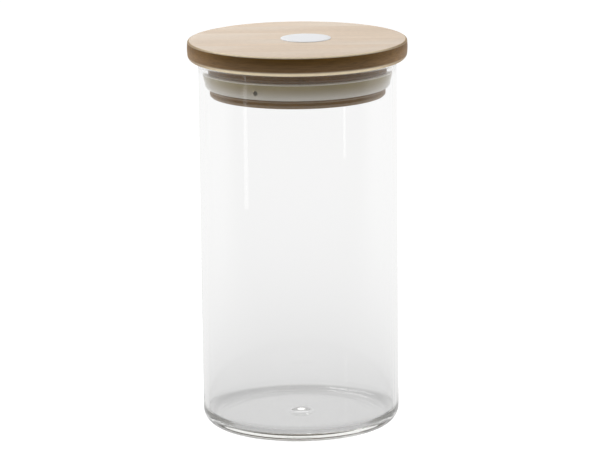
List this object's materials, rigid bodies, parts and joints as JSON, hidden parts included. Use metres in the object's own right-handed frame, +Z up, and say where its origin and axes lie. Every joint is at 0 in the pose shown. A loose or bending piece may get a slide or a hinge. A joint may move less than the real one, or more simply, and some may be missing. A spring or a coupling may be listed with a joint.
{
  "type": "lidded glass canister",
  "caption": "Tall round glass canister with a bamboo lid that lifts off; a hollow silicone ring round the lid's plug seals the mouth.",
  "frame": {"origin": "middle of the circle that the jar stands on", "axes": "+Z up along the jar's axis, -Y the front, where the sealing ring has its vent hole"},
  "size_m": [0.111, 0.111, 0.1981],
  "materials": {
    "glass": "clear blown borosilicate",
    "bamboo": "sanded bamboo with a thin matt oil",
    "silicone": "translucent silicone",
    "label_paper": "plain white sticker"
  },
  "bodies": {
    "jar": {"glass_jar": "glass"},
    "ring": {"seal_ring": "silicone"},
    "lid": {"lid_disc": "bamboo", "lid_plug": "bamboo", "lid_label": "label_paper"}
  },
  "joints": [
    {"name": "lid_lift", "type": "slide", "parent": "jar", "child": "ring", "axis": [0, 0, 1], "range_m": [0, 0.08]},
    {"name": "lid_turn", "type": "hinge", "parent": "ring", "child": "lid", "pos_m": [0, 0, 0.1786], "axis": [0, 0, 1], "continuous": true}
  ]
}
